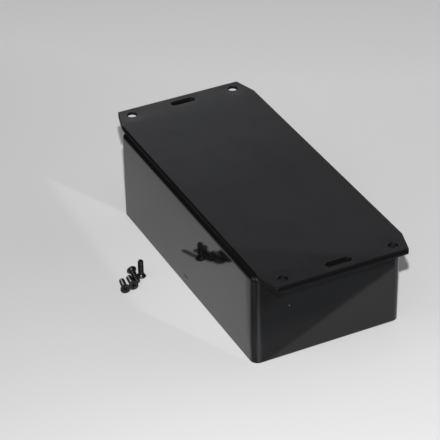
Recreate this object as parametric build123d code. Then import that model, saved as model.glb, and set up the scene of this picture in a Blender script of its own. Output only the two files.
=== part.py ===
from build123d import *
import os
from math import atan, cos, radians, sin

# A moulded plastic project box: a deep case, a flat lid with a mounting ear at each end,
# and the four lid screws, which lie loose beside it.
# Millimetres. Z is up, the floor is Z 0, Y runs along the box and X across it.
# The origin is the middle of the case's underside.

# Case
case_width = 80.0
case_length = 150.0
case_height = 49.0
wall = 3.0
floor_thickness = 2.5
corner_radius = 4.0
inner_corner_radius = 1.5
shoulder_radius = 2.3
base_edge_radius = 0.5
cavity_taper = 0.5

# Lid
lid_thickness = 3.0
lid_inset = 1.6
ear_reach = 14.4
ear_straight = 1.6
ear_corner_cut = 3.8
ear_corner_radius = 0.8
lid_edge_radius = 0.5
lip_height = 3.0
lip_thickness = 1.6
lip_clearance = 0.3

# Mounting holes and slots in the ears
ear_hole_diameter = 5.2
ear_hole_from_side = 9.2
ear_hole_from_end = 6.0
ear_recess_diameter = 9.6
ear_recess_depth = 1.3
slot_length = 13.8
slot_width = 4.2

# Lid screws, with countersunk heads
head_diameter = 5.1
head_height = 1.75
head_rim = 0.25
shaft_diameter = 2.9
shaft_length = 7.75
shaft_tip = 0.3
cross_length = 2.8
cross_width = 0.7
cross_depth = 1.0

# Screw pillars in the case, and the lid's bosses above them
screw_inset = 7.6
well_clearance = 0.5
pillar_wall = 1.5
shelf_thickness = 3.0
seat_clearance = 0.15
shaft_clearance = 0.3
boss_length = 6.2
boss_wall = 1.9
boss_gap = 0.3
pilot_diameter = 2.3
pilot_spare = 0.6

# Card guides inside the walls
guide_rib_width = 1.2
guide_rib_depth = 1.8
guide_slot = 1.8
guide_head_room = 1.5
guide_pairs_side = 5
guide_pairs_end = 2
guide_pillar_gap = 5.0

# Board standoffs on the floor
standoff_diameter = 6.0
standoff_height = 4.0
standoff_bore = 2.2
standoff_from_side = 16.0
standoff_from_end = 26.0

# Loose screws beside the case, left of it
heap_from_case = 16.6
heap_along = 16.8
heap_gap = 0.08
heap_tuck = 0.2
crossing_angle = 184.7
crossing_share = 0.41
middle_angle = 8.3
middle_ahead_share = 0.05
outer_angle = 12.0
outer_back_share = 0.09

# One overrun for every cut that leaves a face
overrun = 1.0

# Sizes that follow from those above
half_width = case_width / 2
half_length = case_length / 2
mouth_width = case_width - 2 * wall
mouth_length = case_length - 2 * wall
box_height = case_height + lid_thickness
screw_x = half_width - screw_inset
screw_y = half_length - screw_inset
head_radius = head_diameter / 2
shaft_radius = shaft_diameter / 2
screw_length = head_height + shaft_length
cone_height = head_height - head_rim
well_radius = head_radius + well_clearance
pillar_radius = well_radius + pillar_wall
pillar_top = case_height - boss_length - boss_gap
pilot_depth = screw_length - shelf_thickness - boss_gap + pilot_spare
guide_top = case_height - lip_height - guide_head_room
corners = [(x, y) for x in (-screw_x, screw_x) for y in (-screw_y, screw_y)]


def upright_prism(sketch, bottom, top):
    """A flat outline raised from one height to another."""
    return extrude(Pos(0, 0, bottom) * sketch, top - bottom)


def spread(count, span):
    """Evenly spaced places, centred on zero, with half a space at each end of the span."""
    pitch = span / count
    return [(i + 0.5) * pitch - span / 2 for i in range(count)]


def case_blank():
    """The case's outer form: rounded upright corners, a rounded shoulder and a softer base edge."""
    blank = upright_prism(RectangleRounded(case_width, case_length, corner_radius), 0, case_height)
    blank = fillet(blank.faces().sort_by(Axis.Z)[-1].edges(), shoulder_radius)
    return fillet(blank.faces().sort_by(Axis.Z)[0].edges(), base_edge_radius)


def cavity():
    """The space inside, which narrows towards the floor so that the moulding leaves its core."""
    mouth = RectangleRounded(mouth_width, mouth_length, inner_corner_radius)
    foot_width = mouth_width - 2 * cavity_taper
    foot_length = mouth_length - 2 * cavity_taper
    foot = RectangleRounded(foot_width, foot_length, inner_corner_radius)
    return loft([(Pos(0, 0, floor_thickness) * foot).face(), (Pos(0, 0, case_height) * mouth).face()])


def pillar(x, y):
    """A corner pillar: round towards the middle of the box, square where it grows out of the walls."""
    side_x = half_width - wall / 2 - abs(x)
    side_y = half_length - wall / 2 - abs(y)
    to_side = Pos(side_x / 2, (side_y - pillar_radius) / 2) * Rectangle(side_x, side_y + pillar_radius)
    to_end = Pos((side_x - pillar_radius) / 2, side_y / 2) * Rectangle(side_x + pillar_radius, side_y)
    outline = Circle(pillar_radius) + to_side + to_end
    if x < 0:
        outline = mirror(outline, Plane.YZ)
    if y < 0:
        outline = mirror(outline, Plane.XZ)
    return upright_prism(Pos(x, y) * outline, 0, pillar_top)


def screw_well(x, y):
    """The deep well that a screw drops into from below, and the countersunk hole in the shelf above it."""
    shelf = pillar_top - shelf_thickness
    hole_radius = shaft_radius + shaft_clearance
    seat_radius = head_radius + seat_clearance
    seat_depth = (seat_radius - hole_radius) * cone_height / (head_radius - shaft_radius)
    well = upright_prism(Pos(x, y) * Circle(well_radius), -overrun, shelf)
    seat = Pos(x, y, shelf + seat_depth / 2) * Cone(seat_radius, hole_radius, seat_depth)
    hole = upright_prism(Pos(x, y) * Circle(hole_radius), 0, pillar_top + overrun)
    return well + seat + hole


def guide_pair(width_across, depth_out):
    """Outline of two ribs that hold the edge of a card, standing out from a wall along +X."""
    offset = (guide_slot + guide_rib_width) / 2
    ribs = Sketch()
    for side in (-offset, offset):
        ribs += Pos(-depth_out / 2, side) * Rectangle(depth_out, width_across)
    return ribs


def card_guides():
    """Pairs of ribs down the long walls and the end walls."""
    depth = guide_rib_depth + cavity_taper + wall / 2
    pair = guide_pair(guide_rib_width, depth)
    side_span = 2 * (screw_y - pillar_radius - guide_pillar_gap)
    end_span = 2 * (screw_x - pillar_radius)
    reach_x = half_width - wall / 2
    reach_y = half_length - wall / 2
    outlines = Sketch()
    for y in spread(guide_pairs_side, side_span):
        outlines += Pos(reach_x, y) * pair
        outlines += Pos(-reach_x, y) * Rot(0, 0, 180) * pair
    for x in spread(guide_pairs_end, end_span):
        outlines += Pos(x, reach_y) * Rot(0, 0, 90) * pair
        outlines += Pos(x, -reach_y) * Rot(0, 0, -90) * pair
    return upright_prism(outlines, floor_thickness / 2, guide_top)


def standoffs():
    """Four short posts on the floor, with a blind bore for a small screw."""
    x = half_width - standoff_from_side
    y = half_length - standoff_from_end
    ring = Circle(standoff_diameter / 2) - Circle(standoff_bore / 2)
    places = [Pos(i * x, j * y) for i in (-1, 1) for j in (-1, 1)]
    posts = Sketch() + [place * ring for place in places]
    return upright_prism(posts, floor_thickness, floor_thickness + standoff_height)


def case():
    """The case, moulded in one piece with its pillars, guides and standoffs."""
    blank = case_blank()
    inside = card_guides()
    for x, y in corners:
        inside += pillar(x, y)
    body = blank - cavity() + (inside & blank)
    body += standoffs()
    for x, y in corners:
        body -= screw_well(x, y)
    return body


def lid_outline():
    """The lid seen from above: straight sides, and ears that narrow towards the ends."""
    side_x = half_width - lid_inset
    side_y = half_length + ear_straight
    end_x = side_x - ear_corner_cut
    end_y = half_length + ear_reach
    quarter = [(side_x, side_y), (end_x, end_y)]
    right = [(x, -y) for x, y in reversed(quarter)] + quarter
    left = [(-x, -y) for x, y in right]
    outline = Polygon(*(right + left), align=None)
    return fillet(outline.vertices(), ear_corner_radius)


def lid_plate():
    """The flat plate, with its upper edge rounded."""
    plate = upright_prism(lid_outline(), case_height, box_height)
    return fillet(plate.faces().sort_by(Axis.Z)[-1].edges(), lid_edge_radius)


def lid_lip():
    """The wall under the plate that keeps the lid square in the case's mouth."""
    outer_width = mouth_width - 2 * lip_clearance
    outer_length = mouth_length - 2 * lip_clearance
    inner_width = outer_width - 2 * lip_thickness
    inner_length = outer_length - 2 * lip_thickness
    ring = RectangleRounded(outer_width, outer_length, inner_corner_radius) - Rectangle(inner_width, inner_length)
    return upright_prism(ring, case_height - lip_height, case_height)


def ear_openings():
    """Two round holes with a recess below them, and one slot between, through each ear."""
    hole_x = half_width - lid_inset - ear_hole_from_side
    hole_y = half_length + ear_reach - ear_hole_from_end
    holes = Sketch()
    recesses = Sketch()
    slots = Sketch()
    for y in (-hole_y, hole_y):
        slots += Pos(0, y) * SlotOverall(slot_length, slot_width)
        for x in (-hole_x, hole_x):
            holes += Pos(x, y) * Circle(ear_hole_diameter / 2)
            recesses += Pos(x, y) * Circle(ear_recess_diameter / 2)
    through = upright_prism(holes + slots, case_height - overrun, box_height + overrun)
    return through + upright_prism(recesses, case_height - overrun, case_height + ear_recess_depth)


def lid():
    """The lid, moulded in one piece with its ears, lip and screw bosses."""
    body = lid_plate() + lid_lip()
    boss_radius = pilot_diameter / 2 + boss_wall
    bosses = Sketch() + [Pos(x, y) * Circle(boss_radius) for x, y in corners]
    bores = Sketch() + [Pos(x, y) * Circle(pilot_diameter / 2) for x, y in corners]
    boss_foot = case_height - boss_length
    body += upright_prism(bosses, boss_foot, case_height)
    body -= upright_prism(bores, boss_foot - overrun, boss_foot + pilot_depth)
    return body - ear_openings()


def screw():
    """One countersunk screw: the head's outer face is at the origin, and the shaft runs along +Z."""
    profile = Polyline(
        (0, 0),
        (head_radius, 0),
        (head_radius, head_rim),
        (shaft_radius, head_height),
        (shaft_radius, screw_length - shaft_tip),
        (shaft_radius - shaft_tip, screw_length),
        (0, screw_length),
        (0, 0),
    )
    body = revolve(Plane.XZ * make_face(profile), Axis.Z)
    cross = Rectangle(cross_length, cross_width) + Rectangle(cross_width, cross_length)
    return body - upright_prism(cross, -overrun, cross_depth)


def along(angle):
    """Unit steps in X and Y towards a compass angle in degrees, which is counted from +Y to +X."""
    return sin(radians(angle)), cos(radians(angle))


def lying_screw(x, y, angle):
    """A screw on its side, on its head's rim and its tip. The middle of its head's outer face is above (x, y)."""
    tilt = atan((head_radius - shaft_radius) / (screw_length - shaft_tip - head_rim))
    step_x, step_y = along(angle)
    height = head_radius * cos(tilt) + head_rim * sin(tilt)
    axis = (step_x * cos(tilt), step_y * cos(tilt), -sin(tilt))
    return Plane(origin=(x, y, height), z_dir=axis) * screw()


def head_radius_at(depth):
    """How wide a head is at a depth behind its outer face."""
    if depth < head_rim:
        return head_radius
    return max(shaft_radius, head_radius - (depth - head_rim) * (head_radius - shaft_radius) / cone_height)


def loose_screws():
    """The four screws as they lie: one stands on its head, and three rest on their sides.
    One of those passes the standing one, its shaft just over that one's rim. The next has its tip beside
    that shaft, and the last lies beside the second's head, a little nearer the near end."""
    stand_x = -half_width - heap_from_case
    stand_y = heap_along
    step_x, step_y = along(crossing_angle)
    behind = crossing_share * screw_length
    passing_x = stand_x - head_radius - shaft_radius + heap_tuck
    cross_x = passing_x - step_x * behind
    cross_y = stand_y - step_y * behind
    tip_ahead = middle_ahead_share * screw_length
    tip_x = passing_x - tip_ahead * step_x - shaft_diameter - heap_gap
    step_x, step_y = along(middle_angle)
    middle_x = tip_x - step_x * screw_length
    middle_y = stand_y + tip_ahead - step_y * screw_length
    outer_back = outer_back_share * screw_length
    outer_x = middle_x - head_radius - head_radius_at(outer_back) - 2 * heap_gap
    return [
        Pos(stand_x, stand_y, 0) * screw(),
        lying_screw(cross_x, cross_y, crossing_angle),
        lying_screw(middle_x, middle_y, middle_angle),
        lying_screw(outer_x, middle_y - outer_back, outer_angle),
    ]


def main():
    """Writes one file for each node."""
    os.makedirs("parts", exist_ok=True)
    nodes = {
        "case_body": case(),
        "flanged_lid": lid(),
        "lid_screws": Compound(children=loose_screws()),
    }
    for name, shape in nodes.items():
        export_step(shape, "parts/" + name + ".step")


main()
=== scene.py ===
from math import atan, cos, radians, sin, tau

import bmesh
import bpy
from mathutils import Matrix, Vector


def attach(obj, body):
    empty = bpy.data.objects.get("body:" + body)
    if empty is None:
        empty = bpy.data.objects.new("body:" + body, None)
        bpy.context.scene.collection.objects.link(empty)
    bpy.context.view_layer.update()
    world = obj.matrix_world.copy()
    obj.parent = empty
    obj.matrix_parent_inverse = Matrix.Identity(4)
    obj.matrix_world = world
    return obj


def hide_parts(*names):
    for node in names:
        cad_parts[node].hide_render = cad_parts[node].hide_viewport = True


# A glossy black plastic project box with its four lid screws beside it. Metres, in the frame of
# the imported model: Z is up, Y runs along the box, and the near end is at -Y.

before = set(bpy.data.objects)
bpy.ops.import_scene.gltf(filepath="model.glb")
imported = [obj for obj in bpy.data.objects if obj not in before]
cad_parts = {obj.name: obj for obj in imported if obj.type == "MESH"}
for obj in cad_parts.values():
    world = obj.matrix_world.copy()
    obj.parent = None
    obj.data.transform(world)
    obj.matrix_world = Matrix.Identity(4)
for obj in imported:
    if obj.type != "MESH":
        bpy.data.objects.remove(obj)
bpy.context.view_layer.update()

MM = 0.001
PHOTO = 440  # the photo's width and height, in pixels
SQUARE = ((-1, -1), (1, -1), (1, 1), (-1, 1))


def reach(node):
    """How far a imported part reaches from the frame's origin towards +X, +Y and +Z."""
    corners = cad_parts[node].bound_box
    return [max(corner[i] for corner in corners) for i in range(3)]


CASE_HALF_WIDTH, CASE_HALF_LENGTH = reach("case_body")[:2]
LID_HALF_WIDTH, LID_HALF_LENGTH, LID_TOP = reach("flanged_lid")


def grey(level):
    """An opaque grey."""
    return (level, level, level, 1)


# Camera
def make_camera():
    """The camera that the photo was fitted with: place, aim, roll and a long lens."""
    focal_px = 2055.45
    axis_column, axis_row = 220.5, 216.5
    yaw, pitch, roll = radians(25.888), radians(33.415), radians(-1.0289)
    place = Vector((-390.49, -763.97, 594.69)) * MM
    aim = Vector((sin(yaw) * cos(pitch), cos(yaw) * cos(pitch), -sin(pitch)))
    right = Vector((cos(yaw), -sin(yaw), 0))
    up = right.cross(aim)
    right_r = right * cos(roll) + up * sin(roll)
    up_r = up * cos(roll) - right * sin(roll)
    turn = Matrix((right_r, up_r, -aim)).transposed().to_4x4()
    data = bpy.data.cameras.new("camera")
    data.sensor_fit = "HORIZONTAL"
    data.sensor_width = 36.0
    data.lens = focal_px / PHOTO * data.sensor_width
    data.shift_x = (PHOTO / 2 - axis_column) / PHOTO
    data.shift_y = (axis_row - PHOTO / 2) / PHOTO
    data.clip_start = 0.05
    data.clip_end = 30
    camera = bpy.data.objects.new("camera", data)
    camera.matrix_world = Matrix.Translation(place) @ turn
    bpy.context.scene.collection.objects.link(camera)
    bpy.context.scene.camera = camera


# Node helpers
class Graph:
    """Short ways to add shader nodes to one tree."""

    def __init__(self, tree):
        self.tree = tree
        tree.nodes.clear()

    def add(self, kind, **settings):
        node = self.tree.nodes.new(kind)
        for key, value in settings.items():
            setattr(node, key, value)
        return node

    def put(self, socket, value):
        """Links a socket to another socket, or sets its constant."""
        if isinstance(value, bpy.types.NodeSocket):
            self.tree.links.new(value, socket)
        else:
            socket.default_value = value

    def math(self, operation, a, b=0.0, c=0.0):
        node = self.add("ShaderNodeMath", operation=operation)
        for socket, value in zip(node.inputs, (a, b, c)):
            self.put(socket, value)
        return node.outputs[0]

    def vector(self, operation, a, b=(0, 0, 0)):
        node = self.add("ShaderNodeVectorMath", operation=operation)
        self.put(node.inputs[0], a)
        self.put(node.inputs[1], b)
        gives_number = operation in ("DOT_PRODUCT", "LENGTH")
        return node.outputs["Value" if gives_number else "Vector"]

    def ramp(self, value, low, high, out_low=0.0, out_high=1.0):
        """A smooth step from out_low to out_high as the value goes from low to high."""
        node = self.add("ShaderNodeMapRange", interpolation_type="SMOOTHSTEP")
        for socket, item in zip(node.inputs, (value, low, high, out_low, out_high)):
            self.put(socket, item)
        return node.outputs[0]

    def noise(self, place, scale, detail=2.0, rough=0.5):
        node = self.add("ShaderNodeTexNoise")
        self.put(node.inputs["Vector"], place)
        node.inputs["Scale"].default_value = scale
        node.inputs["Detail"].default_value = detail
        node.inputs["Roughness"].default_value = rough
        return node.outputs[0]

    def specks(self, place, scale, radius, share):
        """Round specks in some cells of a scattered pattern: 1 inside, 0 outside."""
        cells = self.add("ShaderNodeTexVoronoi")
        self.put(cells.inputs["Vector"], place)
        cells.inputs["Scale"].default_value = scale
        near = self.ramp(cells.outputs["Distance"], radius * 0.6, radius, 1.0, 0.0)
        pick = self.math("LESS_THAN", self.random_of(cells.outputs["Color"]), share)
        return self.math("MULTIPLY", near, pick)

    def random_of(self, colour):
        """A random number from 0 to 1 that stays the same for the same colour."""
        node = self.add("ShaderNodeTexWhiteNoise")
        self.put(node.inputs["Vector"], colour)
        return node.outputs["Value"]

    def stretched(self, place, scales, turn=(0, 0, 0)):
        """A place turned, then scaled along each axis."""
        node = self.add("ShaderNodeMapping")
        self.put(node.inputs["Vector"], place)
        node.inputs["Rotation"].default_value = turn
        node.inputs["Scale"].default_value = scales
        return node.outputs[0]

    def mix(self, share, a, b):
        node = self.add("ShaderNodeMix", data_type="RGBA")
        self.put(node.inputs[0], share)
        self.put(node.inputs[6], a)
        self.put(node.inputs[7], b)
        return node.outputs[2]

    def split(self, place):
        node = self.add("ShaderNodeSeparateXYZ")
        self.put(node.inputs[0], place)
        return node.outputs

    def total(self, *values):
        result = values[0]
        for value in values[1:]:
            result = self.math("ADD", result, value)
        return result

    def product(self, *values):
        result = values[0]
        for value in values[1:]:
            result = self.math("MULTIPLY", result, value)
        return result

    def flat_length(self, across, along):
        """The length of a flat step with these two parts."""
        node = self.add("ShaderNodeCombineXYZ")
        self.put(node.inputs[0], across)
        self.put(node.inputs[1], along)
        return self.vector("LENGTH", node.outputs[0])

    def bump(self, height):
        """A normal for a height in metres."""
        node = self.add("ShaderNodeBump")
        node.inputs["Strength"].default_value = 1.0
        node.inputs["Distance"].default_value = 1.0
        self.put(node.inputs["Height"], height)
        return node.outputs[0]


def new_material(name):
    """A material with one Principled shader, and the graph to dress it with."""
    material = bpy.data.materials.new(name)
    material.use_nodes = True
    graph = Graph(material.node_tree)
    shader = graph.add("ShaderNodeBsdfPrincipled")
    output = graph.add("ShaderNodeOutputMaterial")
    graph.put(output.inputs["Surface"], shader.outputs[0])
    return material, graph, shader


# Plastic of both mouldings. Sizes are in metres, and noise scales count cells a metre.
PLASTIC = (0.0055, 0.0055, 0.0059, 1)
PLASTIC_WORN = (0.030, 0.030, 0.031, 1)
SMEAR = (0.012, 0.011, 0.010, 1)
DUST = (0.34, 0.33, 0.31, 1)
LINT = (0.6, 0.6, 0.62, 1)
PLASTIC_IOR = 1.54
POLISH = 0.05
EDGE_WEAR_RADIUS = 0.0006
PEEL_HEIGHT = 0.00002
WAVE_HEIGHT = 0.00018
MOULD_LINE_HEIGHT = 0.000006
HAIRLINE_DEPTH = 0.0000012


def edge_mask(graph, radius):
    """1 along sharp edges, which handling wears first."""
    bevel = graph.add("ShaderNodeBevel", samples=4)
    bevel.inputs["Radius"].default_value = radius
    geometry = graph.add("ShaderNodeNewGeometry")
    match = graph.vector("DOT_PRODUCT", bevel.outputs[0], geometry.outputs["Normal"])
    return graph.ramp(match, 0.80, 0.99, 1.0, 0.0)


def plastic(name, marks, draw_lines=False):
    """Glossy moulded ABS: near black, with a faint orange peel, smears, hairlines and dust."""
    material, graph, shader = new_material(name)
    place = graph.add("ShaderNodeTexCoord").outputs["Object"]
    facing = graph.split(graph.add("ShaderNodeNewGeometry").outputs["Normal"])
    up = graph.ramp(facing[2], 0.5, 0.9)

    # Where wear and dust are
    smears = graph.ramp(graph.noise(place, 38, 4, 0.6), 0.52, 0.70)
    fine = graph.noise(place, 420, 3, 0.6)
    hair_a = graph.noise(graph.stretched(place, (900, 26, 300), (0, 0, radians(24))), 1.0, 1.0)
    hair_b = graph.noise(graph.stretched(place, (22, 1000, 260), (0, 0, radians(-12))), 1.0, 1.0)
    hairlines = graph.math("MAXIMUM", graph.ramp(hair_a, 0.74, 0.80), graph.ramp(hair_b, 0.75, 0.81))
    rubbed = graph.ramp(graph.noise(place, 160, 3), 0.44, 0.62)
    edges = graph.product(edge_mask(graph, EDGE_WEAR_RADIUS), rubbed)
    dust = graph.specks(place, 240, 0.055, 0.05)
    lint = graph.specks(place, 95, 0.030, 0.06)
    specks = graph.math("MAXIMUM", dust, lint)
    specks = graph.product(specks, graph.math("MULTIPLY_ADD", up, 0.6, 0.4))

    # What they do to colour, roughness and height
    worn = graph.total(graph.product(edges, 0.10), graph.product(hairlines, 0.06))
    colour = graph.mix(graph.math("MINIMUM", worn, 1.0), PLASTIC, PLASTIC_WORN)
    colour = graph.mix(graph.product(smears, 0.10), colour, SMEAR)
    colour = graph.mix(graph.product(specks, 0.45), colour, DUST)
    rough = graph.total(
        POLISH,
        graph.product(smears, 0.035),
        graph.product(fine, 0.015),
        graph.product(hairlines, 0.05),
        graph.product(edges, 0.06),
        graph.product(specks, 0.4),
    )
    peel = graph.product(graph.noise(place, 95, 1.5, 0.4), PEEL_HEIGHT)
    wave = graph.product(graph.noise(place, 17, 1.0, 0.3), WAVE_HEIGHT)
    height = graph.total(peel, wave)
    if draw_lines:  # faint upright marks that the mould leaves on deep walls
        side = graph.math("SUBTRACT", 1.0, up)
        lines = graph.noise(graph.stretched(place, (150, 150, 5)), 1.0, 2.0)
        height = graph.total(height, graph.product(lines, side, MOULD_LINE_HEIGHT))
    height = graph.total(height, graph.product(hairlines, -HAIRLINE_DEPTH))

    colour, rough, height = marks(graph, shader, place, colour, rough, height)
    shader.inputs["IOR"].default_value = PLASTIC_IOR
    graph.put(shader.inputs["Base Color"], colour)
    graph.put(shader.inputs["Roughness"], rough)
    graph.put(shader.inputs["Normal"], graph.bump(height))
    return material


# The lid's own marks, in metres
HOLE_X = LID_HALF_WIDTH - 0.0092
HOLE_Y = LID_HALF_LENGTH - 0.0060
HOLE_RADIUS = 0.0026
SLOT_HALF_WIDTH = 0.0021
SLOT_HALF_STRAIGHT = 0.0048
BORE_GAP = 0.0001
FOLD_Y = CASE_HALF_LENGTH + 0.0012
FOLD_HALF_WIDTH = 0.0035
FOLD_DEPTH = 0.000012
EAR_DROOP = 0.011
EAR_TWIST = 0.25
RIM_WIDTH = 0.0010
RIM_CURVE = 600.0
SIDE_HEIGHT = 0.0022
SIDE_CURVE = 370.0
HOLE_DISH_WIDTH = 0.0052
HOLE_DISH_DEPTH = 0.00006
SLOT_DISH_WIDTH = 0.0029
SLOT_DISH_DEPTH = 0.00002


def excess(graph, value, start):
    """How far a value is past a start, and 0 before it."""
    return graph.math("MAXIMUM", graph.math("SUBTRACT", value, start), 0.0)


def lid_relief(graph, x, z, far_y, to_hole, to_slot):
    """Bump of the lid's own: ears that droop, soft sides and end rims, and dished openings."""
    off_fold = graph.math("ABSOLUTE", graph.math("SUBTRACT", far_y, FOLD_Y))
    fold = graph.ramp(off_fold, 0.0, FOLD_HALF_WIDTH, 1.0, 0.0)
    slope = graph.math("MULTIPLY_ADD", x, EAR_TWIST, -EAR_DROOP)
    side = excess(graph, z, LID_TOP - SIDE_HEIGHT)
    rim = excess(graph, far_y, LID_HALF_LENGTH - RIM_WIDTH)
    hole_dish = graph.ramp(to_hole, HOLE_RADIUS, HOLE_RADIUS + HOLE_DISH_WIDTH, 1.0, 0.0)
    slot_dish = graph.ramp(to_slot, SLOT_HALF_WIDTH, SLOT_HALF_WIDTH + SLOT_DISH_WIDTH, 1.0, 0.0)
    return graph.total(
        graph.product(fold, -FOLD_DEPTH),
        graph.product(excess(graph, far_y, FOLD_Y), slope),
        graph.product(side, side, -SIDE_CURVE),
        graph.product(rim, rim, -RIM_CURVE),
        graph.product(hole_dish, -HOLE_DISH_DEPTH),
        graph.product(slot_dish, -SLOT_DISH_DEPTH),
    )


def lid_film(graph, place, x, y):
    """How much gloss handling took: at the near left corner, in patches and in one rub."""
    near_left = graph.total(graph.product(y, -1.0), graph.product(x, -0.7), -0.0724)
    wipe = graph.ramp(near_left, 0.0, 0.007, 0.0, 0.11)
    patches = graph.noise(graph.stretched(place, (1, 0.7, 1)), 75, 3, 0.55)
    patches = graph.ramp(patches, 0.50, 0.66, 0.0, 0.045)
    to_rub = graph.vector("SUBTRACT", place, (0.014, 0.004, LID_TOP))
    rub = graph.vector("LENGTH", graph.stretched(to_rub, (80, 32, 0)))
    return graph.total(wipe, patches, graph.ramp(rub, 0.2, 1.0, 0.05, 0.0))


def lid_marks(graph, shader, place, colour, rough, height):
    """Adds the lid's relief and film, makes its bores and long sides duller, and paints shade into its
    bores.
    """
    x, y, z = graph.split(place)
    far_x = graph.math("ABSOLUTE", x)
    far_y = graph.math("ABSOLUTE", y)
    along = graph.math("SUBTRACT", far_y, HOLE_Y)
    to_hole = graph.flat_length(graph.math("SUBTRACT", far_x, HOLE_X), along)
    to_slot = graph.flat_length(excess(graph, far_x, SLOT_HALF_STRAIGHT), along)
    height = graph.total(height, lid_relief(graph, x, z, far_y, to_hole, to_slot))

    long_side = graph.product(
        graph.ramp(far_x, LID_HALF_WIDTH - 0.0005, LID_HALF_WIDTH - 0.0002),
        graph.ramp(far_y, 0.0735, 0.0755, 1.0, 0.0),
    )
    in_hole = graph.math("LESS_THAN", to_hole, HOLE_RADIUS + BORE_GAP)
    in_slot = graph.math("LESS_THAN", to_slot, SLOT_HALF_WIDTH + BORE_GAP)
    below = graph.ramp(z, LID_TOP - 0.0006, LID_TOP - 0.0002, 1.0, 0.0)
    bore = graph.product(graph.math("MAXIMUM", in_hole, in_slot), below)
    dull = graph.math("MAXIMUM", long_side, bore)
    # Painted shade: the colour inside the holes and the slot is taken towards black
    colour = graph.mix(graph.product(bore, 0.4), colour, grey(0.001))
    rough = graph.total(rough, graph.product(dull, 0.42))
    gloss = graph.math("MULTIPLY_ADD", dull, -0.42, 0.5)
    gloss = graph.math("SUBTRACT", gloss, lid_film(graph, place, x, y))
    graph.put(shader.inputs["Specular IOR Level"], graph.math("MAXIMUM", gloss, 0.03))
    return colour, rough, height


def case_marks(graph, shader, place, colour, rough, height):
    """A nick low on the long left wall, and a speck of lint on the near end wall."""
    nick = graph.vector("SUBTRACT", place, (-CASE_HALF_WIDTH, -0.0012, 0.0058))
    nick = graph.stretched(nick, (260, 240, 1150), (radians(-8), 0, 0))
    nick = graph.ramp(graph.vector("LENGTH", nick), 0.45, 0.95, 1.0, 0.0)
    speck = graph.vector("SUBTRACT", place, (-0.0211, -CASE_HALF_LENGTH, 0.0287))
    speck = graph.ramp(graph.vector("LENGTH", speck), 0.00014, 0.00034, 1.0, 0.0)
    colour = graph.mix(graph.product(nick, 0.9), colour, grey(0.003))
    colour = graph.mix(graph.product(speck, 0.35), colour, LINT)
    rough = graph.total(rough, graph.product(nick, 0.5), graph.product(speck, 0.6))
    height = graph.total(height, graph.product(nick, -0.00012))
    return colour, rough, height


# Screws. Sizes are in millimetres.
HEAD_RADIUS = 2.55
HEAD_HEIGHT = 1.75
HEAD_RIM = 0.25
SHAFT_RADIUS = 1.45
CORE_RADIUS = 1.1
SCREW_LENGTH = 9.5
TIP = 0.3
BEVEL = 0.05
CROSS_HALF_LENGTH = 1.4
CROSS_HALF_WIDTH = 0.35
CROSS_DEPTH = 1.0
CROSS_OVERRUN = 0.4
CROSS_FOOT_SHARE = 0.62
CROSS_FOOT_EXTRA = 0.02
PITCH = 0.8
ROOT_SHARE = 0.3
CREST_SHARE = 0.8
TURNS_BEFORE_THREAD = 0.2
SHARE_LEFT_AT_TIP = 0.6
AROUND = 40
STEPS_A_PITCH = 14

STEEL = (0.032, 0.032, 0.033, 1)
STEEL_WORN = (0.17, 0.168, 0.164, 1)


def blackened_steel():
    """Black finish on steel: satin, thinner on edges and in fine rubs, with painted shade in hollows and
    where screws touch.
    """
    material, graph, shader = new_material("blackened_steel")
    place = graph.add("ShaderNodeTexCoord").outputs["Object"]
    grain = graph.noise(place, 2600, 3, 0.6)
    rubs = graph.ramp(graph.noise(place, 700, 4, 0.6), 0.52, 0.66)
    edges = graph.math("MULTIPLY", edge_mask(graph, 0.00012), graph.ramp(grain, 0.3, 0.6))
    worn = graph.total(graph.product(edges, 0.55), graph.product(rubs, 0.30))
    steel = graph.mix(graph.math("MINIMUM", worn, 1.0), STEEL, STEEL_WORN)
    # Painted shade: an occlusion mask takes the colour towards black in the cross recess, thread roots
    # and contacts
    hollow_shade = graph.add("ShaderNodeAmbientOcclusion", samples=6)
    hollow_shade.inputs["Distance"].default_value = 0.0011
    unshaded_share = graph.ramp(hollow_shade.outputs["AO"], 0.30, 0.78, 0.05, 1.0)
    rough = graph.total(0.27, graph.product(grain, 0.10), graph.product(rubs, -0.05))
    shader.inputs["Metallic"].default_value = 0.85
    graph.put(shader.inputs["Base Color"], graph.mix(unshaded_share, grey(0.002), steel))
    graph.put(shader.inputs["Roughness"], rough)
    graph.put(shader.inputs["Normal"], graph.bump(graph.product(grain, 0.000014)))
    return material


def thread_height(turns):
    """How far up the flank of a thread a point is, from 0 at the root to 1 at the crest."""
    climb = 1.0 - abs(2.0 * (turns % 1.0) - 1.0)
    return min(1.0, max(0.0, (climb - ROOT_SHARE) / (CREST_SHARE - ROOT_SHARE)))


def shaft_rows():
    """Heights along the threaded shaft, and how much of the thread is cut there."""
    span = SCREW_LENGTH - HEAD_HEIGHT - TIP
    count = round(span / PITCH * STEPS_A_PITCH)
    for i in range(count + 1):
        z = HEAD_HEIGHT + span * i / count
        from_head = (z - HEAD_HEIGHT) / PITCH
        to_tip = (SCREW_LENGTH - TIP - z) / PITCH
        yield z, max(0.0, min(1.0, from_head - TURNS_BEFORE_THREAD, to_tip + SHARE_LEFT_AT_TIP))


def head_profile():
    """Radius and height round the countersunk head, from its flat face to the shaft."""
    soft = 0.06
    return [
        (HEAD_RADIUS * 0.5, 0.0),
        (HEAD_RADIUS - soft, 0.0),
        (HEAD_RADIUS, soft),
        (HEAD_RADIUS, HEAD_RIM - soft),
        (HEAD_RADIUS - soft, HEAD_RIM + soft),
        (SHAFT_RADIUS + soft, HEAD_HEIGHT - soft),
        (CORE_RADIUS + soft, HEAD_HEIGHT),
    ]


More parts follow.
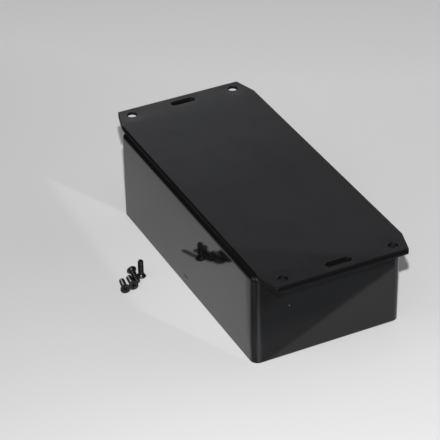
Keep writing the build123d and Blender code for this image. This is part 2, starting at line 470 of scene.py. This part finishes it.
def lathe(mesh, rings, base, end):
    """Joins rings of points to one closed skin between two end points."""
    first = mesh.verts.new(base)
    last = mesh.verts.new(end)
    made = [[mesh.verts.new(point) for point in ring] for ring in rings]
    for i in range(AROUND):
        j = (i + 1) % AROUND
        mesh.faces.new((first, made[0][j], made[0][i]))
        mesh.faces.new((last, made[-1][i], made[-1][j]))
    for low, high in zip(made, made[1:]):
        for i in range(AROUND):
            j = (i + 1) % AROUND
            mesh.faces.new((low[i], low[j], high[j], high[i]))


def ring_of(radius_at, z):
    """Points round the screw's axis at one height, where radius_at(i) is the radius at point i."""
    turns = [tau * i / AROUND for i in range(AROUND)]
    return [(radius_at(i) * cos(turn), radius_at(i) * sin(turn), z) for i, turn in enumerate(turns)]


def screw_body():
    """Head, threaded shaft and blunt tip as one closed mesh, in millimetres."""
    rings = [ring_of(lambda i, r=radius: r, z) for radius, z in head_profile()]
    for z, cut in list(shaft_rows())[1:]:

        def radius_at(i, z=z, cut=cut):
            crest = thread_height(z / PITCH - i / AROUND)
            return CORE_RADIUS + (SHAFT_RADIUS - CORE_RADIUS) * crest * cut

        rings.append(ring_of(radius_at, z))
    end = SCREW_LENGTH
    rings.append(ring_of(lambda i: SHAFT_RADIUS - TIP, end - BEVEL))
    rings.append(ring_of(lambda i: SHAFT_RADIUS - TIP - BEVEL, end))
    mesh = bmesh.new()
    lathe(mesh, rings, (0, 0, 0), (0, 0, end))
    return mesh


def recess_cutter():
    """A cross recess that narrows as it goes in."""
    mesh = bmesh.new()
    arm = (CROSS_HALF_WIDTH, CROSS_HALF_LENGTH)
    for across, along in (arm, arm[::-1]):
        low_across = CROSS_FOOT_SHARE * across + CROSS_FOOT_EXTRA
        low_along = CROSS_FOOT_SHARE * along + CROSS_FOOT_EXTRA
        mouth = [mesh.verts.new((x * across, y * along, -CROSS_OVERRUN)) for x, y in SQUARE]
        foot = [mesh.verts.new((x * low_across, y * low_along, CROSS_DEPTH)) for x, y in SQUARE]
        mesh.faces.new(mouth[::-1])
        mesh.faces.new(foot)
        for i in range(len(SQUARE)):
            j = (i + 1) % len(SQUARE)
            mesh.faces.new((mouth[i], mouth[j], foot[j], foot[i]))
    bmesh.ops.recalc_face_normals(mesh, faces=mesh.faces)
    return mesh


def object_from(name, mesh):
    """A scene object from a loose mesh, which is used up."""
    data = bpy.data.meshes.new(name)
    mesh.to_mesh(data)
    mesh.free()
    thing = bpy.data.objects.new(name, data)
    bpy.context.scene.collection.objects.link(thing)
    return thing


def cut_screw():
    """The screw's mesh with its recess cut, in millimetres."""
    body = screw_body()
    bmesh.ops.recalc_face_normals(body, faces=body.faces)
    thing = object_from("screw_blank", body)
    cutter = object_from("screw_cutter", recess_cutter())
    cut = thing.modifiers.new("recess", "BOOLEAN")
    cut.object = cutter
    cut.operation = "DIFFERENCE"
    cut.solver = "EXACT"
    cut.use_self = True
    graph = bpy.context.evaluated_depsgraph_get()
    mesh = bpy.data.meshes.new_from_object(thing.evaluated_get(graph))
    bpy.data.objects.remove(thing)
    bpy.data.objects.remove(cutter)
    return mesh


# Where the heap of screws lies, the gap between neighbours, and how far the crossing screw's shaft
# reaches in over the standing one's head, in millimetres
HEAP_X = -56.6
HEAP_Y = 16.8
HEAP_GAP = 0.08
HEAP_TUCK = 0.2


def toward(angle):
    """Unit steps in X and Y towards a compass angle in degrees, which is counted from +Y to +X."""
    return sin(radians(angle)), cos(radians(angle))


def lying(x, y, angle):
    """Start and axis of a screw on its side, on its head's rim and its tip."""
    tilt = atan((HEAD_RADIUS - SHAFT_RADIUS) / (SCREW_LENGTH - TIP - HEAD_RIM))
    step_x, step_y = toward(angle)
    height = HEAD_RADIUS * cos(tilt) + HEAD_RIM * sin(tilt)
    return (x, y, height), (step_x * cos(tilt), step_y * cos(tilt), -sin(tilt))


def screw_places():
    """Name, start, axis and spin of each screw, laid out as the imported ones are."""
    crossing_angle, middle_angle, outer_angle = 184.7, 8.3, 12.0
    behind = 0.41 * SCREW_LENGTH
    tip_ahead = 0.05 * SCREW_LENGTH
    outer_back = 0.09 * SCREW_LENGTH
    passing_x = HEAP_X - HEAD_RADIUS - SHAFT_RADIUS + HEAP_TUCK
    step_x, step_y = toward(crossing_angle)
    crossing = lying(passing_x - step_x * behind, HEAP_Y - step_y * behind, crossing_angle)
    tip_x = passing_x - tip_ahead * step_x - 2 * SHAFT_RADIUS - HEAP_GAP
    step_x, step_y = toward(middle_angle)
    middle_x = tip_x - step_x * SCREW_LENGTH
    middle_y = HEAP_Y + tip_ahead - step_y * SCREW_LENGTH
    cone_slope = (HEAD_RADIUS - SHAFT_RADIUS) / (HEAD_HEIGHT - HEAD_RIM)
    beside = HEAD_RADIUS - (outer_back - HEAD_RIM) * cone_slope
    outer_x = middle_x - HEAD_RADIUS - beside - 2 * HEAP_GAP
    yield "lid_screw_standing", (HEAP_X, HEAP_Y, 0), (0, 0, 1), 20
    yield "lid_screw_crossing", *crossing, 35
    yield "lid_screw_middle", *lying(middle_x, middle_y, middle_angle), 10
    yield "lid_screw_outer", *lying(outer_x, middle_y - outer_back, outer_angle), 55


def make_screws():
    """The four loose screws, each turned a different way about its own axis."""
    base = cut_screw()
    steel = blackened_steel()
    for name, start, axis, spin in screw_places():
        turn = Vector((0, 0, 1)).rotation_difference(Vector(axis).normalized()).to_matrix().to_4x4()
        place = Matrix.Translation(Vector(start) * MM) @ turn @ Matrix.Rotation(radians(spin), 4, "Z")
        mesh = base.copy()
        mesh.transform(place @ Matrix.Scale(MM, 4))
        mesh.materials.clear()
        mesh.materials.append(steel)
        mesh.shade_smooth()
        mesh.set_sharp_from_angle(angle=radians(38))
        thing = bpy.data.objects.new(name, mesh)
        bpy.context.scene.collection.objects.link(thing)
        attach(thing, "case")
        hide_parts("lid_screws")
    bpy.data.meshes.remove(base)


def dress(node, material):
    """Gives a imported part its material."""
    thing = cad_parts[node]
    thing.data.materials.clear()
    thing.data.materials.append(material)


# Floor and light. The zones of the floor's painted reflection are in millimetres, and the other sizes in
# metres.
SHEET = (0.722, 0.718, 0.710)
# Tones of the painted reflection that only gloss sees on the floor
DARK_CLOSE = (0.42, 0.43, 0.445, 1)
DARK = (0.26, 0.275, 0.30, 1)
BROWN = (0.15, 0.135, 0.115, 1)
PAINTED_HIGHLIGHT = (1.20, 1.22, 1.27, 1)
BACKDROP = (0.62, 0.62, 0.625, 1)
ROOM_TINT = (0.935, 0.95, 1.0, 1)
FLOOR_HALF_SIZE = 6.0
FLASH_PLACE = Vector((-360, -710, 669)) * MM
FLASH_WIDTH = 0.02
FLASH_POWER = 9.9


def painted_reflection_tone(graph, place):
    """Painted reflection: the floor's colour as gloss alone shows it, pale near the box and painted
    darker past a slanting line in front; every other ray sees the floor pale.
    """
    x, y = graph.split(graph.stretched(place, (1 / MM, 1 / MM, 1 / MM)))[:2]

    # Painted reflection of the pale floor, beside the box and in front of it
    in_front = graph.ramp(y, -79, -72, 1.0, 0.0)
    beside = graph.mix(graph.ramp(y, 0, 70), grey(0.98), grey(0.90))
    tone = graph.mix(in_front, beside, grey(0.77))

    # Painted reflection past a slanting line: dark, less so close to the box, brown further out on the
    # left, then black
    past_line = graph.total(y, graph.product(graph.total(x, 24.1), 0.4185), 78.6)
    past_line = graph.math("SUBTRACT", past_line, graph.ramp(x, -80, -45, 3.5, 0.0))
    past_dark_line = graph.ramp(past_line, -2.0, 1.0, 1.0, 0.0)
    close = graph.product(graph.ramp(y, -104, -84), graph.ramp(x, -74, -56))
    left = graph.product(graph.ramp(x, -10, 4, 1.0, 0.0), graph.ramp(y, -122, -108, 1.0, 0.0))
    tone = graph.mix(past_dark_line, tone, graph.mix(close, DARK, DARK_CLOSE))
    tone = graph.mix(graph.product(left, past_dark_line), tone, BROWN)
    tone = graph.mix(graph.ramp(y, -152.8, -150.8, 1.0, 0.0), tone, grey(0.05))

    # A painted highlight in the reflection: a light streak that fans out from the near left corner
    out = graph.math("MAXIMUM", graph.math("SUBTRACT", -74.0, y), 1.0)
    aside = graph.math("DIVIDE", graph.total(x, 37.0, graph.product(out, 0.14)), out)
    spread = graph.product(graph.math("ABSOLUTE", aside), graph.ramp(out, 6, 36, 0.70, 1.35))
    streak = graph.product(graph.ramp(spread, 0.08, 0.72, 1.0, 0.0), graph.ramp(out, 22, 60, 1.0, 0.32))
    tone = graph.mix(graph.product(streak, past_dark_line), tone, PAINTED_HIGHLIGHT)

    # The painted dark stripe that the rounded upright corner reflects
    corner = graph.product(
        graph.ramp(graph.total(y, graph.product(x, 2.06), 150.6), -4.0, 1.0, 1.0, 0.0),
        graph.ramp(y, -78, -64),
        graph.ramp(x, -52, -44, 1.0, 0.25),
    )
    return graph.mix(graph.product(corner, 0.36), tone, grey(0))


def painted_floor_light(graph, place):
    """Painted light on the floor: brighter towards the near right, and a painted pool of the flash's
    light where it would come back off the long left wall.
    """
    x, y = graph.split(place)[:2]
    shade = graph.total(
        1.050,
        graph.product(x, 0.50),
        graph.product(y, 0.16),
        graph.product(x, x, -1.6),
        graph.product(x, y, 4.3),
        graph.product(y, y, 2.4),
        graph.product(graph.noise(place, 5.0, 2.0), 0.03),
    )
    shade = graph.math("MINIMUM", graph.math("MAXIMUM", shade, 0.85), 1.25)

    # Painted light off the wall falls on a slanting wedge, which ends where the wall's top sends it
    out = graph.math("SUBTRACT", -CASE_HALF_WIDTH, x)
    along = graph.math("SUBTRACT", y, graph.product(out, 2.2))
    reached = graph.total(out, graph.product(graph.math("SUBTRACT", 0.126, y), -0.0486))
    painted_wall_light = graph.product(
        graph.ramp(reached, 0.018, 0.028, 1.0, 0.0),
        graph.ramp(reached, -0.004, 0.024, 1.0, 0.75),
        graph.ramp(graph.math("ABSOLUTE", along), 0.070, 0.078, 1.0, 0.0),
        graph.math("GREATER_THAN", out, -0.001),
        graph.ramp(y, -0.085, 0.0, 0.035, 0.11),
    )
    return graph.product(shade, graph.total(painted_wall_light, 1.0))


def make_floor():
    """A pale matt sheet that reaches well past the view."""
    mesh = bmesh.new()
    for x, y in SQUARE:
        mesh.verts.new((x * FLOOR_HALF_SIZE, y * FLOOR_HALF_SIZE, 0))
    mesh.faces.new(mesh.verts)
    floor = object_from("floor", mesh)
    material, graph, shader = new_material("floor_sheet")
    place = graph.add("ShaderNodeTexCoord").outputs["Object"]
    in_gloss = graph.add("ShaderNodeLightPath").outputs["Is Glossy Ray"]
    # Gloss rays see the painted reflection tones; all other rays see the plain pale sheet
    shown = graph.mix(in_gloss, grey(1), painted_reflection_tone(graph, place))
    colour = graph.vector("SCALE", graph.vector("MULTIPLY", SHEET, shown))
    # Painted light: the floor's colour is scaled up and down by the painted floor light
    graph.put(colour.node.inputs["Scale"], painted_floor_light(graph, place))
    graph.put(shader.inputs["Base Color"], colour)
    shader.inputs["Roughness"].default_value = 0.9
    shader.inputs["Specular IOR Level"].default_value = 0.0
    floor.data.materials.append(material)


def make_world():
    """A dim room with soft panels behind and beside the box, and a plain pale backdrop for the camera."""
    world = bpy.data.worlds.new("studio")
    bpy.context.scene.world = world
    world.use_nodes = True
    graph = Graph(world.node_tree)
    aim = graph.vector("NORMALIZE", graph.add("ShaderNodeTexCoord").outputs["Generated"])
    height = graph.split(aim)[2]

    def lobe(azimuth, elevation, inner, outer, strength):
        """A soft round patch of light: full inside the inner angle, none past the outer one."""
        az, el = radians(azimuth), radians(elevation)
        middle = (sin(az) * cos(el), cos(az) * cos(el), sin(el))
        near = graph.vector("DOT_PRODUCT", aim, middle)
        return graph.ramp(near, cos(radians(outer)), cos(radians(inner)), 0.0, strength)

    far_left_shade = graph.math("SUBTRACT", 1.0, lobe(-36, 34, 26, 50, 0.96))
    near_right_shade = graph.math("SUBTRACT", 1.0, lobe(140, 40, 28, 60, 0.88))
    room = graph.product(graph.ramp(height, 0.30, 1.0, 0.065, 0.46), far_left_shade, near_right_shade)
    behind = graph.total(lobe(20, 21, 2, 14, 0.37), lobe(28, 26, 2, 14, 0.15))
    right = lobe(97, 23, 8, 32, 1.05)
    left = lobe(-88, 45, 8, 38, 0.42)
    light = graph.total(room, behind, right, left)
    background = graph.add("ShaderNodeBackground")
    background.inputs["Color"].default_value = ROOM_TINT
    graph.put(background.inputs["Strength"], light)
    backdrop = graph.add("ShaderNodeBackground")
    backdrop.inputs["Color"].default_value = BACKDROP
    chosen = graph.add("ShaderNodeMixShader")
    graph.put(chosen.inputs[0], graph.add("ShaderNodeLightPath").outputs["Is Camera Ray"])
    graph.put(chosen.inputs[1], background.outputs[0])
    graph.put(chosen.inputs[2], backdrop.outputs[0])
    graph.put(graph.add("ShaderNodeOutputWorld").inputs["Surface"], chosen.outputs[0])


def make_flash():
    """A small round lamp at the place of an on-camera flash, aimed at the box."""
    data = bpy.data.lights.new("flash", "AREA")
    data.shape = "DISK"
    data.size = FLASH_WIDTH
    data.energy = FLASH_POWER
    lamp = bpy.data.objects.new("flash", data)
    turn = FLASH_PLACE.to_track_quat("Z", "Y").to_matrix().to_4x4()
    lamp.matrix_world = Matrix.Translation(FLASH_PLACE) @ turn
    bpy.context.scene.collection.objects.link(lamp)


make_camera()
make_floor()
make_world()
make_flash()
dress("case_body", plastic("case_plastic_look", case_marks, draw_lines=True))
dress("flanged_lid", plastic("lid_plastic_look", lid_marks))
make_screws()

bpy.context.scene.view_settings.view_transform = "Standard"
